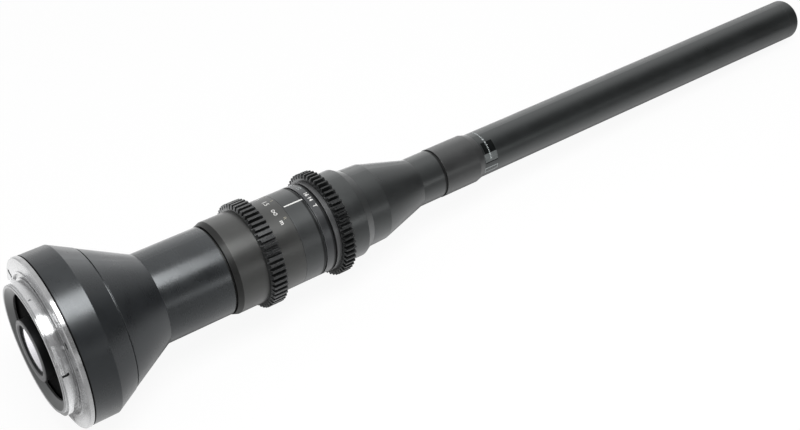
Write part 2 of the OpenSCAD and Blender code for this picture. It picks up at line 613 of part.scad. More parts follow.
// One blade in its open place; k sets its station and its layer
module blade(k) color([0.12, 0.12, 0.13]) axial() rotate([0, 0, k * 360 / blade_n])
  translate([0, 0, iris_b + blade_c + k * (blade_t + blade_c)]) {
    linear_extrude(blade_t) union() {
      difference() {
        circle(r = blade_out_r, $fn = FN);
        circle(r = blade_in_r, $fn = FN);
        rotate([0, 0, 6]) square([2 * blade_out_r, 2 * blade_out_r]);
        rotate([0, 0, 96]) square([2 * blade_out_r, 2 * blade_out_r]);
        rotate([0, 0, 142]) square([2 * blade_out_r, 2 * blade_out_r]);
      }
      translate([pivot_r, 0]) circle(r = 2.2 * pivot_pin_r, $fn = FS);
      translate(pin0) circle(r = 2.2 * blade_pin_r, $fn = FS);
      polygon([[blade_in_r + blade_pin_r, -blade_pin_out / 2], [pivot_r + pivot_pin_r / 2, -2.15 * pivot_pin_r],
        [pivot_r + 2 * pivot_pin_r, 0], pin0 + [2 * blade_pin_r, 0], pin0 + [0, 2 * blade_pin_r],
        pin0 - [2 * blade_pin_r, 0], [blade_out_r - blade_pin_r, blade_pin_r]]);
    }
    // pivot pin into the base plate
    translate([pivot_r, 0, end_c - iris_plate_t - blade_c - k * (blade_t + blade_c)])
      cylinder(r = pivot_pin_r, h = iris_plate_t - end_c + blade_c + k * (blade_t + blade_c) + blade_t / 2, $fn = FS);
    // drive pin into the cam ring slot
    translate([pin0[0], pin0[1], blade_t / 2])
      cylinder(r = blade_pin_r, $fn = FS,
        h = cam_x + iris_plate_t - end_c - iris_b - blade_c - k * (blade_t + blade_c) - blade_t / 2);
  }
module iris_blade_1() blade(0);
module iris_blade_2() blade(1);
module iris_blade_3() blade(2);
module iris_blade_4() blade(3);
module iris_blade_5() blade(4);

module front_cone() color([0.08, 0.08, 0.09]) difference() {
  turned([[barrel_core_r, cone_x0], [cone_r1, cone_x0], [cone_r1, cone_x1], [cone_r2, cone_x2],
    [cone_r3, cone_x3], [cone_r4, cone_x4], [cone_r4, cone_x5], [tube_seat_r, cone_x5], [tube_seat_r, tube_x0],
    [cone_r3 - cone_t, cone_x3], [barrel_bore_r - cone_t / 2, barrel_x2], [barrel_core_r, barrel_x2]]);
  // window for the power socket, on the side away from the index
  axial() rotate([0, 0, socket_a]) translate([cone_r3 - socket_d, -socket_w / 2, socket_x - socket_h / 2])
    cube([socket_d + over + cone_t, socket_w, socket_h]);
}

module power_socket() color([0.72, 0.72, 0.72]) difference() {
  axial() rotate([0, 0, socket_a]) translate([cone_r3 - socket_d, -socket_w / 2, socket_x - socket_h / 2])
    cube([socket_d, socket_w, socket_h]);
  axial() rotate([0, 0, socket_a])
    translate([cone_r3 - socket_d + 2 * end_c, -socket_w / 2 + 2 * end_c, socket_x - socket_h / 2 + 2 * end_c])
      cube([socket_d + over, socket_w - 4 * end_c, socket_h - 4 * end_c]);
  axial() rotate([0, 0, socket_a])
    translate([cone_r3 - socket_d - over, -lead_r - end_c, socket_x - lead_r - end_c])
      cube([over + 3 * end_c, 2 * (lead_r + end_c), 2 * (lead_r + end_c)]);
}

module seal_ring() color([0.02, 0.02, 0.02])
  ring(tube_seat_r, cone_r4 - seal_bulge, cone_x5, collar_x0);

module probe_collar() color([0.08, 0.08, 0.09])
  turned([[tube_seat_r, collar_x0], [collar_r, collar_x0], [collar_r, collar_x1],
    [tube_r + run_c, collar_x2], [tube_seat_r, collar_x2]]);

module probe_tube() color([0.08, 0.08, 0.09])
  turned([[tube_bore_r, tube_x0], [tube_seat_r, tube_x0], [tube_seat_r, collar_x2], [tube_r, collar_x2],
    [tube_r, tip_x - bezel_l], [tube_bore_r, tip_x - bezel_l]]);

module tip_bezel() color([0.06, 0.06, 0.06])
  turned([[tube_bore_r - seam_d, bezel_x0], [tube_bore_r, bezel_x0],
    [tube_bore_r, tip_x - bezel_l], [tube_r, tip_x - bezel_l], [tube_r, tip_x - tip_round],
    [tube_r - tip_round * 0.3, tip_x - tip_round * 0.3], [tube_r - tip_round, tip_x],
    [tube_bore_r, tip_x], [tube_bore_r, tip_x - window_t], [tube_bore_r - seam_d, tip_x - window_t]]);

module front_glass_mount() color([0.05, 0.05, 0.05]) difference() {
  turned([[front_glass_r - seam_d, front_mount_x],
    [tube_bore_r - seam_d, front_mount_x], [tube_bore_r - seam_d, board_x],
    [front_glass_r + seam_d, board_x], [front_glass_r + seam_d, front_x], [front_glass_r, front_x],
    [front_glass_r, front_seat_x], [front_glass_r - seam_d, front_seat_x]]);
  axial_pin(socket_a, lead_ri, lead_r + run_c, front_mount_x - over, board_x + over);
}

module front_element() color([0.75, 0.82, 0.80, 0.55])
  glass(front_glass_r, front_seat_x, front_x - window_t, end_c, glass_bulge / 2);

module lamp_board() color([0.12, 0.32, 0.18])
  ring(front_glass_r + seam_d, tube_bore_r - seam_d, board_x, board_x + board_t);
module lamp_chips() color([0.95, 0.90, 0.55]) for (a = lamp_angles)
  axial() rotate([0, 0, a]) translate([lamp_circle_r - lamp_w / 2, -lamp_w / 2, board_x + board_t])
    cube([lamp_w, lamp_w, lamp_h]);
module lamp_window() color([0.85, 0.87, 0.86, 0.6])
  ring(front_glass_r + seam_d, tube_bore_r, front_x - window_t + end_c, front_x);

// A lens seated in a ring cell in the probe tube, notched for the lead
module relay_cell(x) color([0.05, 0.05, 0.05]) difference() {
  ring(relay_r, tube_bore_r, x, x + relay_t + glass_bulge);
  axial_pin(socket_a, lead_rc, lead_r + end_c, x - over, x + relay_t + glass_bulge + over);
}
module relay_glass(x) color([0.75, 0.82, 0.80, 0.55])
  glass(relay_r, x + glass_bulge, x + relay_t, glass_bulge, glass_bulge / 2);
module relay_cell_1() relay_cell(relay_x[0]);
module relay_cell_2() relay_cell(relay_x[1]);
module relay_cell_3() relay_cell(relay_x[2]);
module relay_cell_4() relay_cell(relay_x[3]);
module relay_lens_1() relay_glass(relay_x[0]);
module relay_lens_2() relay_glass(relay_x[1]);
module relay_lens_3() relay_glass(relay_x[2]);
module relay_lens_4() relay_glass(relay_x[3]);

module lamp_lead() color([0.30, 0.05, 0.05]) {
  axial_pin(socket_a, lead_rc, lead_r, socket_x - lead_r, lead_x1 + lead_r);
  radial_pin(socket_a, socket_x, lead_r, lead_rc - lead_r, cone_r3 - socket_d + 2 * end_c);
  radial_pin(socket_a, lead_x1, lead_r, lead_ri - lead_r, lead_rc + lead_r);
  axial_pin(socket_a, lead_ri, lead_r, lead_x1 - lead_r, board_x);
}

bayonet_mount();
mount_screws();
rear_trim_ring();
rear_baffle();
rear_lens_tube();
rear_element();
rear_retaining_ring();
mount_housing();
main_barrel();
index_ring();
index_ring_screws();
front_cone();
power_socket();
lamp_lead();
seal_ring();
probe_collar();
probe_tube();
tip_bezel();
front_glass_mount();
front_element();
lamp_board();
lamp_chips();
lamp_window();
relay_cell_1();
relay_cell_2();
relay_cell_3();
relay_cell_4();
relay_lens_1();
relay_lens_2();
relay_lens_3();
relay_lens_4();
iris_base_plate();
iris_retainer();
focus_sleeve();
focus_gear();
focus_gear_screws();
focus_cell();
focus_lens_rear();
focus_lens_front();
focus_lens_ring_rear();
focus_lens_ring_front();
cam_followers();
aperture_ring();
aperture_gear();
aperture_gear_screws();
iris_cam_ring();
iris_drive_pin();
iris_blade_1();
iris_blade_2();
iris_blade_3();
iris_blade_4();
iris_blade_5();
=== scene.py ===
import math
import bmesh
import bpy
from mathutils import Matrix, Vector


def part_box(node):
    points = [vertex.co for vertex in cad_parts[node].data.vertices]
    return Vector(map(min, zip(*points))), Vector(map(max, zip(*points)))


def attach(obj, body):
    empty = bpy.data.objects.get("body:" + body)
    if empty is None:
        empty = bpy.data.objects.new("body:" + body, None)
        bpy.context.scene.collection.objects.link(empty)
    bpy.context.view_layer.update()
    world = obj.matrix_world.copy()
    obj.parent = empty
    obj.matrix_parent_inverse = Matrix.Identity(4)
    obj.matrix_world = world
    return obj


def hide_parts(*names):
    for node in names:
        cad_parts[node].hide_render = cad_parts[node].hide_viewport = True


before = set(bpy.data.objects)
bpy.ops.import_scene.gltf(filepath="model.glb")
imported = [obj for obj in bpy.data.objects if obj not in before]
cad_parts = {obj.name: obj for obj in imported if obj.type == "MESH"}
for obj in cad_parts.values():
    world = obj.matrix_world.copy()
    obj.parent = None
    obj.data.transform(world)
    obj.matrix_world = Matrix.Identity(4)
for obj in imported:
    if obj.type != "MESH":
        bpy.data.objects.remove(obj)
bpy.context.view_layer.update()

scene = bpy.context.scene
scene.view_settings.view_transform = "Standard"

# Lengths are in mm: x runs along the optical axis from the flange face to the tip, and r out from it.
# Angles round the axis, psi, are in degrees from the top towards -Y.
MM = 0.001
FORWARD, REARWARD = (1, 0, 0), (-1, 0, 0)


def reach(node):
    """How far a CAD node reaches towards the tip, and up from the axis."""
    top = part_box(node)[1]
    return round(top.x / MM, 2), round(top.z / MM, 2)


_, FLANGE_R = reach("bayonet_mount")
_, RING_R = reach("index_ring")
TIP_X, TUBE_R = reach("tip_bezel")
GEAR_X1, _ = reach("aperture_gear")
CHIP_X, _ = reach("lamp_chips")

# The camera, at the photograph's viewing angle.
CAMERA_PLACE = Vector((-83.2, -322.9, 294.96))
CAMERA_RIGHT = Vector((0.8008, -0.5989, 0.0))
CAMERA_FORWARD = Vector((0.4752, 0.6354, -0.6087))
SENSOR_WIDTH, FOCAL_LENGTH = 36.0, 53.15
CLIP_NEAR, CLIP_FAR = 10.0, 30000.0


def place_camera():
    data = bpy.data.cameras.new("camera")
    data.sensor_width, data.lens = SENSOR_WIDTH, FOCAL_LENGTH
    data.clip_start, data.clip_end = CLIP_NEAR * MM, CLIP_FAR * MM
    camera = bpy.data.objects.new("camera", data)
    scene.collection.objects.link(camera)
    right = CAMERA_RIGHT.normalized()
    forward = CAMERA_FORWARD.normalized()
    up = right.cross(forward).normalized()
    turn = Matrix((right, up, -forward)).transposed()
    camera.matrix_world = Matrix.Translation(CAMERA_PLACE * MM) @ turn.to_4x4()
    scene.camera = camera


place_camera()


# Helpers for nodes.
class Net:
    """A short way to write the nodes of a material or of the world."""

    def __init__(self, owner, output="ShaderNodeOutputMaterial"):
        self.owner = owner
        owner.use_nodes = True
        self.tree = owner.node_tree
        self.tree.nodes.clear()
        self.out = self.add(output)

    def add(self, kind, **props):
        """A node with these properties."""
        node = self.tree.nodes.new(kind)
        for key, value in props.items():
            setattr(node, key, value)
        return node

    def put(self, socket, value):
        if isinstance(value, bpy.types.NodeSocket):
            self.tree.links.new(value, socket)
        else:
            socket.default_value = value

    def put_all(self, node, *values):
        """Gives a node's inputs these values in turn."""
        for socket, value in zip(node.inputs, values):
            self.put(socket, value)
        return node.outputs[0]

    def make(self, kind, **inputs):
        """A node with these inputs: an underscore stands for a space in an input's name."""
        node = self.add(kind)
        for key, value in inputs.items():
            socket = node.inputs[key.replace("_", " ")]
            if isinstance(value, tuple) and socket.type == "RGBA":
                value = (*value, 1.0)
            self.put(socket, value)
        return node

    def math(self, op, a, b=0.0, c=0.0):
        return self.put_all(self.add("ShaderNodeMath", operation=op), a, b, c)

    def vmath(self, op, a, b=(0.0, 0.0, 0.0), scale=1.0):
        node = self.add("ShaderNodeVectorMath", operation=op)
        self.put(node.inputs[0], a)
        if op == "SCALE":
            node.inputs["Scale"].default_value = scale
        elif op != "LENGTH":
            self.put(node.inputs[1], b)
        return node.outputs["Value" if op in ("LENGTH", "DOT_PRODUCT") else "Vector"]

    def split(self, vec):
        """The x, y and z of a vector."""
        node = self.add("ShaderNodeSeparateXYZ")
        self.put(node.inputs[0], vec)
        return node.outputs

    def noise(self, vec, scale, detail=2.0, rough=0.5):
        node = self.make("ShaderNodeTexNoise", Vector=vec, Scale=scale, Detail=detail, Roughness=rough)
        return node.outputs["Fac"]

    def ramp(self, value, lo, hi, a=0.0, b=1.0, smooth=True):
        """Runs from a, where the value is lo, to b, where it is hi, and stays level past them."""
        node = self.make("ShaderNodeMapRange", Value=value, From_Min=lo, From_Max=hi, To_Min=a, To_Max=b)
        node.interpolation_type = "SMOOTHSTEP" if smooth else "LINEAR"
        return node.outputs["Result"]

    def curve(self, place, points):
        """The height over a place of the broken line through these (place, height) points."""
        node = self.add("ShaderNodeValToRGB")
        first, last = points[0][0], points[-1][0]
        top = max(height for _, height in points)
        stops = node.color_ramp.elements
        while len(stops) > 1:
            stops.remove(stops[-1])
        for i, (point, height) in enumerate(points):
            share = (point - first) / (last - first)
            stop = stops.new(share) if i else stops[0]
            stop.position = share
            stop.color = (height / top, height / top, height / top, 1.0)
        self.put(node.inputs[0], self.ramp(place, first, last, smooth=False))
        return self.math("MULTIPLY", node.outputs[0], top)

    def blend(self, share, a, b):
        """The number a, with the number b in its place by this share."""
        return self.math("ADD", self.math("MULTIPLY", a, self.math("SUBTRACT", 1.0, share)),
                         self.math("MULTIPLY", share, b))

    def mix(self, share, a, b):
        """The colour a, with the colour b in its place by this share."""
        node = self.add("ShaderNodeMix", data_type="RGBA")
        self.put(node.inputs[0], share)
        for socket, value in zip(node.inputs[6:8], (a, b)):
            self.put(socket, (*value, 1.0) if isinstance(value, tuple) else value)
        return node.outputs[2]

    def shader(self, kind, **inputs):
        return self.make(kind, **inputs).outputs[0]

    def mix_shaders(self, share, first, second):
        """The first shader, with the second in its place by this share."""
        return self.put_all(self.add("ShaderNodeMixShader"), share, first, second)

    def done(self, surface):
        self.put(self.out.inputs["Surface"], surface)
        return self.owner


class Material(Net):
    """The nodes of a material on the lens, where mm is the place on the lens."""

    def __init__(self, name):
        super().__init__(bpy.data.materials.new(name))
        place = self.add("ShaderNodeTexCoord").outputs["Object"]
        self.mm = self.vmath("SCALE", place, scale=1.0 / MM)

    def along(self):
        """The place along the optical axis."""
        return self.split(self.mm)[0]

    def radius(self):
        """The distance from the optical axis."""
        return self.vmath("LENGTH", self.vmath("MULTIPLY", self.mm, (0.0, 1.0, 1.0)))

    def rings(self):
        """A coordinate that is the same all the way round the optical axis, as a lathe leaves it."""
        return self.put_all(self.add("ShaderNodeCombineXYZ"), self.along(), self.radius())

    def rounded(self, radius):
        """The normal, rounded over sharp edges."""
        node = self.make("ShaderNodeBevel", Radius=radius * MM)
        node.samples = 6
        return node.outputs[0]

    def near_edge(self, normal, lo, hi):
        """How close a point lies to a sharp edge, from its rounded normal."""
        flat = self.add("ShaderNodeNewGeometry").outputs["Normal"]
        return self.ramp(self.math("SUBTRACT", 1.0, self.vmath("DOT_PRODUCT", normal, flat)), lo, hi)

    def bump(self, height, strength, distance, normal):
        node = self.make("ShaderNodeBump", Height=height, Strength=strength, Distance=distance * MM,
                         Normal=normal)
        return node.outputs[0]

    def vary(self, noise, a=0.0, b=1.0):
        """Runs from a to b with a noise, most of which lies between 0.3 and 0.7."""
        return self.ramp(noise, 0.3, 0.7, a, b)

    def mottled(self, noise, color, share):
        """A colour that wanders by this share to either side."""
        return self.mix(self.vary(noise), scaled(color, 1 - share), scaled(color, 1 + share))


def scaled(color, by, plus=0.0):
    return tuple(min(1.0, c * by + plus) for c in color)


def turned_metal(name, color, rough, grain=0.06, lines=0.05, ior=1.75, edge=0.22, edge_wear_and_highlight=(0.16, 0.16, 0.165),
                 edge_wear_and_highlight_share=0.55, tint=(0.96, 0.985, 1.0), shade=None, lighten=None):
    """Black anodised or painted metal, turned on a lathe and blasted.

    shade and lighten are (from x, to x, amount, colour): the other colour is full before the first x and
    gone past the second. shade is painted shade at a seam or a bevel, where a dark diffuse shader takes
    over too. lighten is a lighter band: painted light on a rear rim or the back of a gear, and on the
    trim ring a pale bare rim whose lightness is partly painted reflection. The edge colour is partly
    wear and partly a painted highlight along sharp edges.
    """
    net = Material(name)
    fine = net.noise(net.mm, scale=7.0, detail=3.0, rough=0.6)
    broad = net.noise(net.mm, scale=0.09, detail=3.0, rough=0.55)
    ring = net.noise(net.rings(), scale=9.0, rough=0.7)
    patches = net.ramp(net.noise(net.mm, scale=0.8, detail=3.0), 0.25, 0.75, 0.45, 1.0)
    normal = net.rounded(edge)
    # paler near sharp edges, in patches: partly wear, partly a painted highlight
    near_edge = net.math("MULTIPLY", net.near_edge(normal, 0.02, 0.28), patches)
    base = net.mottled(broad, color, 0.18)
    base = net.mix(net.math("MULTIPLY", near_edge, edge_wear_and_highlight_share), base, edge_wear_and_highlight)
    # along the axis: shade is painted shade, lighten a lighter band
    masks = []
    for x0, x1, amount, zone_color in [zone for zone in (shade, lighten) if zone]:
        masks.append(net.math("MULTIPLY", net.ramp(net.along(), x0, x1, 1.0, 0.0), amount))
        base = net.mix(masks[-1], base, zone_color)
    gloss = net.math("ADD", net.vary(broad, rough - 0.03, rough + 0.03), net.vary(ring, -0.01, 0.01))
    gloss = net.math("SUBTRACT", gloss, net.math("MULTIPLY", near_edge, 0.06))
    normal = net.bump(ring, lines, 0.02, net.bump(fine, grain, 0.03, normal))
    metal = net.shader("ShaderNodeBsdfPrincipled", Base_Color=base, Roughness=gloss, IOR=ior, Normal=normal,
                       Specular_Tint=tint)
    # painted shade: a dark diffuse shader takes over from the metal by the seam or bevel
    if shade:
        painted_shade_color = net.mix(fine, (0.002, 0.002, 0.002), (0.005, 0.005, 0.005))
        metal = net.mix_shaders(masks[0], metal, net.shader("ShaderNodeBsdfDiffuse", Color=painted_shade_color))
    return net.done(metal)


def bright_metal(name, color, rough, aniso=0.0, lines=0.08, scale=11.0, edge=0.15, metallic=1.0, matt=None):
    """Turned and polished metal: with aniso it reflects the studio in radial streaks.

    matt is (from x, to x, share): past it the metal is darker by that share.
    """
    net = Material(name)
    rings = net.rings()
    ring = net.noise(rings, scale=scale, detail=3.0, rough=0.65)
    band = net.noise(rings, scale=0.9, rough=0.6)
    broad = net.noise(net.mm, scale=0.25, detail=3.0)
    scratch = net.noise(net.vmath("MULTIPLY", net.mm, (6.0, 0.5, 0.9)), scale=2.5, detail=3.0, rough=0.7)
    base = net.mix(net.vary(broad), scaled(color, 0.94), color)
    base = net.mix(net.ramp(band, 0.52, 0.62, 0.0, 0.45), base, scaled(color, 0.5))
    base = net.mix(net.ramp(scratch, 0.62, 0.75, 0.0, 0.25), base, scaled(color, 0.7))
    if matt:
        x0, x1, share = matt
        base = net.mix(net.ramp(net.along(), x0, x1, 0.0, share), base, (0.0, 0.0, 0.0))
    gloss = net.math("ADD", net.vary(broad, rough - 0.03, rough + 0.04), net.vary(ring, -0.03, 0.03))
    streaks = {}
    if aniso:
        tangent = net.add("ShaderNodeTangent", direction_type="RADIAL", axis="X").outputs[0]
        streaks = {"Anisotropic": aniso, "Anisotropic_Rotation": 0.25, "Tangent": tangent}
    normal = net.bump(ring, lines, 0.02, net.rounded(edge))
    return net.done(net.shader("ShaderNodeBsdfPrincipled", Base_Color=base, Roughness=gloss, Normal=normal,
                               Metallic=metallic, **streaks))


def plain(name, color, rough, noise=0.8, var=0.15, bump=0.1, dist=0.05, lift=0.3, **more):
    """Paint, rubber, plastic or circuit board with a fine uneven surface."""
    net = Material(name)
    fine = net.noise(net.mm, scale=5.0 * noise, detail=3.0, rough=0.6)
    broad = net.noise(net.mm, scale=0.5 * noise, detail=3.0)
    normal = net.rounded(0.1)
    base = net.mottled(broad, color, var)
    base = net.mix(net.math("MULTIPLY", net.near_edge(normal, 0.03, 0.3), lift), base, scaled(color, 1.8, 0.02))
    gloss = net.vary(fine, rough - 0.05, min(1.0, rough + 0.05))
    return net.done(net.shader("ShaderNodeBsdfPrincipled", Base_Color=base, Roughness=gloss,
                               Normal=net.bump(fine, bump, dist, normal), **more))


def coated_glass(name, centre, rim, reflect, painted_reflection=0.0):
    """Lens glass: clear, with a coating whose colour changes from centre to rim, and a milky white layer,
    uneven with dust, as painted reflection.
    """
    net = Material(name)
    dust = net.noise(net.mm, scale=1.6)
    glass = net.shader("ShaderNodeBsdfPrincipled", Base_Color=(0.92, 0.95, 0.94), Transmission_Weight=1.0,
                       IOR=1.6, Roughness=net.ramp(dust, 0.4, 0.8, 0.0, 0.05))
    coat = net.shader("ShaderNodeBsdfAnisotropic", Roughness=0.06,
                      Color=net.mix(net.ramp(net.radius(), 3.0, 9.0), centre, rim))
    lens = net.mix_shaders(net.ramp(dust, 0.3, 0.8, reflect, reflect * 0.92), glass, coat)
    # painted reflection: a pale diffuse layer that stands in for the white the glass reflects
    if painted_reflection:
        painted_reflection_color = net.mix(net.ramp(net.radius(), 3.0, 8.6), centre, rim)
        lens = net.mix_shaders(net.ramp(dust, 0.3, 0.8, painted_reflection, painted_reflection * 0.9), lens,
                               net.shader("ShaderNodeBsdfDiffuse", Color=painted_reflection_color))
    return net.done(lens)


# The materials, and which CAD node gets which.
# the black of painted shade in seams and on bevels
PAINTED_SHADE_BLACK = (0.003, 0.003, 0.003)
COOL_TINT = (0.93, 0.973, 1.0)
MATERIAL = {
    # painted shade in the seam against the flange
    "housing": turned_metal(
        "housing_black", (0.0085, 0.0098, 0.0112), 0.29, edge=0.35, edge_wear_and_highlight=(0.22, 0.23, 0.24), lines=0.008,
        tint=COOL_TINT, shade=(2.3, 2.6, 0.95, PAINTED_SHADE_BLACK)),
    "barrel": turned_metal("barrel_black", (0.0130, 0.0145, 0.0158), 0.27, lines=0.008, tint=COOL_TINT),
    # painted shade on the rear bevel
    "sleeve": turned_metal(
        "focus_sleeve_black", (0.0239, 0.0241, 0.0234), 0.355, grain=0.09, tint=(0.98, 0.995, 0.978),
        shade=(70.45, 70.6, 0.42, (0.006, 0.006, 0.006))),
    # painted shade on the front edge, at the seam with the aperture ring
    "index": turned_metal(
        "index_ring_black", (0.0195, 0.0205, 0.0208), 0.36, tint=(0.95, 0.99, 1.0),
        shade=(107.25, 106.75, 0.6, PAINTED_SHADE_BLACK)),
    # painted shade on the front edge, at the seam with the gear
    "aperture": turned_metal(
        "aperture_ring_black", (0.0175, 0.0185, 0.0200), 0.34, edge_wear_and_highlight=(0.40, 0.41, 0.42), edge_wear_and_highlight_share=0.8,
        edge=0.3, tint=(0.965, 0.985, 1.0), shade=(112.1, 111.7, 0.6, PAINTED_SHADE_BLACK)),
    # a lighter black than the aperture ring's, as painted light; its pale edges are partly painted highlight
    "shoulder": turned_metal(
        "gear_shoulder_black", (0.050, 0.0505, 0.0510), 0.34, edge_wear_and_highlight=(0.45, 0.45, 0.46), edge_wear_and_highlight_share=0.9,
        edge=0.3),
    # painted shade on the front lip, at the seam with the collar
    "cone": turned_metal(
        "cone_black", (0.0165, 0.0178, 0.0181), 0.31, tint=(0.965, 1.0, 1.0),
        shade=(174.9, 174.3, 0.6, PAINTED_SHADE_BLACK)),
    "collar": turned_metal(
        "collar_black", (0.0215, 0.0220, 0.0222), 0.345, grain=0.10, tint=(0.98, 1.0, 1.0)),
    "tube": turned_metal(
        "probe_black", (0.0095, 0.0108, 0.0109), 0.31, edge_wear_and_highlight_share=0.35, tint=(0.955, 0.995, 1.0)),
    # a lighter band at its rear end as painted light; its pale edges are partly wear, partly painted
    # highlight
    "gear": turned_metal(
        "gear_black", (0.0085, 0.009, 0.009), 0.34, ior=1.74, edge=0.14, edge_wear_and_highlight=(0.36, 0.36, 0.365),
        edge_wear_and_highlight_share=0.9, lighten=(82.15, 82.3, 0.9, (0.030, 0.031, 0.031))),
    "front_gear": turned_metal(
        "gear_black_front", (0.0060, 0.0065, 0.0065), 0.34, ior=1.56, edge=0.12, edge_wear_and_highlight=(0.30, 0.30, 0.305),
        edge_wear_and_highlight_share=0.85),
    # the pale rear rim is bare metal, lightened further as painted reflection
    "trim": turned_metal(
        "trim_grey", (0.095, 0.096, 0.096), 0.34, ior=1.6, edge_wear_and_highlight=(0.45, 0.45, 0.45), edge_wear_and_highlight_share=0.8,
        lighten=(-5.25, -5.05, 0.85, (0.62, 0.62, 0.63))),
    # black, and darker than the others as painted shade down the throat; the lighter rear rim and wall are
    # painted light
    "rear_tube": turned_metal(
        "rear_tube_black", (0.0045, 0.0045, 0.005), 0.5, ior=1.4, edge_wear_and_highlight=(0.25, 0.25, 0.26),
        lighten=(-6.05, -5.75, 0.9, (0.22, 0.22, 0.225))),
    "inner": turned_metal("inner_black", (0.008, 0.008, 0.0085), 0.55, ior=1.5, edge_wear_and_highlight_share=0.2),
    "nickel": bright_metal(
        "nickel_silver", (0.85, 0.855, 0.865), 0.24, aniso=0.85, lines=0.12, scale=3.0, edge=0.08,
        metallic=0.76, matt=(-0.9, -0.5, 0.40)),
    "steel": bright_metal("screw_steel", (0.62, 0.62, 0.63), 0.28),
    "brass": bright_metal("follower_brass", (0.78, 0.60, 0.30), 0.25),
    "socket": bright_metal("socket_steel", (0.70, 0.70, 0.70), 0.22),
    "grub": bright_metal("grub_steel", (0.10, 0.10, 0.10), 0.35),
    "blade": bright_metal("blade_steel", (0.07, 0.07, 0.075), 0.42),
    "flock": plain(
        "throat_flock", (0.0012, 0.0012, 0.0014), 0.95, noise=2.0, bump=0.5, dist=0.1, lift=0.0,
        Specular_IOR_Level=0.08),
    "rubber": plain("seal_rubber", (0.006, 0.006, 0.006), 0.6, noise=1.6, bump=0.25),
    "lead": plain("lead_rubber", (0.25, 0.03, 0.03), 0.5, noise=1.5),
    "board": plain("lamp_board_green", (0.03, 0.14, 0.06), 0.45, noise=0.9, var=0.3),
    "chip": plain("lamp_chip_white", (0.80, 0.78, 0.68), 0.4, noise=2.0),
    "phosphor": plain("lamp_phosphor", (0.85, 0.68, 0.12), 0.5, noise=4.0, var=0.25),
    "window": plain(
        "lamp_window_frost", (0.93, 0.94, 0.93), 0.10, noise=2.0, var=0.03, bump=0.02, lift=0.0,
        Transmission_Weight=0.93, IOR=1.45),
    "white": plain("scale_white", (0.82, 0.82, 0.80), 0.55, noise=3.0, var=0.06, bump=0.15, dist=0.02),
    "amber": plain("scale_amber", (0.42, 0.40, 0.32), 0.55, noise=3.0, var=0.08),
    # black print on the band, and also the black of the painted shade on the mount and in the grub screws'
    # sockets
    "black_ink_and_painted_shade": plain(
        "band_black", (0.003, 0.004, 0.004), 0.5, noise=3.0, lift=0.0, Specular_IOR_Level=0.12),
    "ink_grey": plain("band_grey", (0.11, 0.12, 0.12), 0.5, noise=3.0),
    "ink_pale": plain("band_pale", (0.42, 0.46, 0.46), 0.5, noise=4.0, var=0.3),
    "gold": bright_metal("contact_gold", (0.83, 0.62, 0.28), 0.25),
    "glass": coated_glass("rear_glass", (0.97, 0.96, 1.0), (0.95, 0.94, 0.98), 0.94, painted_reflection=0.12),
    "front_glass": coated_glass("front_glass", (0.45, 0.75, 0.62), (0.70, 0.52, 0.85), 0.22),
}
LOOK = {
    "bayonet_mount": "nickel", "mount_screws": "steel", "rear_trim_ring": "trim", "rear_baffle": "flock",
    "rear_lens_tube": "rear_tube", "rear_element": "glass", "rear_retaining_ring": "inner",
    "mount_housing": "housing", "main_barrel": "barrel", "index_ring": "index", "front_cone": "cone",
    "power_socket": "socket", "lamp_lead": "lead", "seal_ring": "rubber", "probe_collar": "collar",
    "probe_tube": "tube", "tip_bezel": "tube", "front_glass_mount": "inner", "front_element": "front_glass",
    "lamp_board": "board", "lamp_chips": "chip", "lamp_window": "window", "focus_sleeve": "sleeve",
    "focus_gear": "gear", "aperture_gear": "front_gear", "aperture_ring": "aperture",
    "cam_followers": "brass", "iris_drive_pin": "steel",
}


def look_of(node):
    """The key of a CAD node's material: its own, or one for all the nodes of its kind."""
    if node in LOOK:
        return LOOK[node]
    if "screws" in node:
        return "grub"
    if "blade" in node:
        return "blade"
    if "lens" in node and "ring" not in node:
        return "front_glass"
    return "inner"


for node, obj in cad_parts.items():
    if not obj.material_slots:
        obj.data.materials.append(None)
    for slot in obj.material_slots:
        slot.material = MATERIAL[look_of(node)]


# Helpers for the pieces that the solids don't have.
PLATE_STEP = 2.0


def at(x, r, psi):
    """A point from its place along the axis, radius and angle."""
    turn = math.radians(psi)
    return Vector((x, -r * math.sin(turn), r * math.cos(turn))) * MM


def piece(name, bm, key, body, smooth=False):
    """Turns a bmesh into an object that rides on a body."""
    bmesh.ops.recalc_face_normals(bm, faces=bm.faces)
    data = bpy.data.meshes.new(name)
    bm.to_mesh(data)
    bm.free()
    for p in data.polygons:
        p.use_smooth = smooth
    data.materials.append(MATERIAL[key])
    obj = bpy.data.objects.new(name, data)
    scene.collection.objects.link(obj)
    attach(obj, body)
    return obj


def skin(bm, rows, closed=False):
    """Faces between each loop of points and the next, and from the last back to the first if closed."""
    for row, after in zip(rows, rows[1:] + rows[:1] if closed else rows[1:]):
        for i in range(len(row)):
            j = (i + 1) % len(row)
            bm.faces.new((row[i], row[j], after[j], after[i]))


def plate(bm, x0, x1, psi0, psi1, r, h):
    """A thin plate curved round the axis, from one angle to the other, standing h over radius r."""
    steps = max(1, int(abs(psi1 - psi0) / PLATE_STEP))
    outline = ((x0, r - h), (x0, r + h), (x1, r + h), (x1, r - h))
    rows = []
    for i in range(steps + 1):
        psi = psi0 + (psi1 - psi0) * i / steps
        rows.append([bm.verts.new(at(x, out, psi)) for x, out in outline])
    skin(bm, rows)
    bm.faces.new(rows[0])
    bm.faces.new(list(reversed(rows[-1])))


def lathe(bm, outline, around=180):
    """A closed outline of (x, r) points, turned round the optical axis."""
    rows = [[bm.verts.new(at(x, r, 360.0 * i / around)) for x, r in outline] for i in range(around)]
    skin(bm, rows, closed=True)


